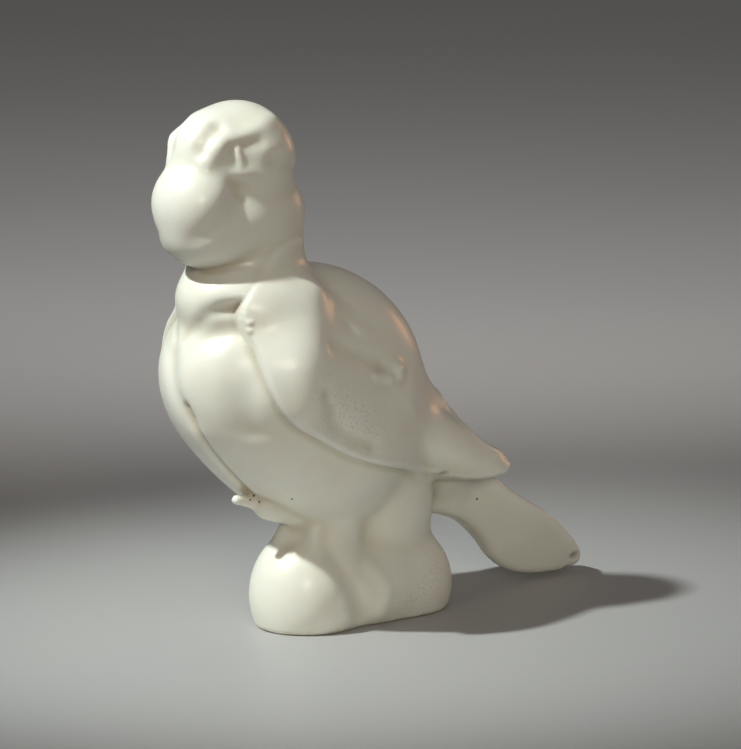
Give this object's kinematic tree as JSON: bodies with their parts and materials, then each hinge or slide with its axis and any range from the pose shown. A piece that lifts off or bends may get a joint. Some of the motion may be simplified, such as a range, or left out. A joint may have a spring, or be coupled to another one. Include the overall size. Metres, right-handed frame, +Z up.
{
  "type": "ceramic bird figurine",
  "caption": "Small glazed ceramic figurine of a perched bird with folded wings and a sloping tail, cast in one piece with the rounded rock it stands on.",
  "frame": {"origin": "in the rock's flat underside, under the middle of the column that carries the bird", "axes": "+Z up from the underside, the bird faces -Y and its tail points to +Y, +X is the bird's left side"},
  "size_m": [0.0634, 0.1506, 0.1499],
  "materials": {
    "glazed_ceramic": "warm ivory glaze with a soft gloss, matt and granular on the wings, bare rough clay at the foot of the rock"
  },
  "bodies": {
    "root": {"bird_on_rock": "glazed_ceramic"}
  },
  "joints": []
}
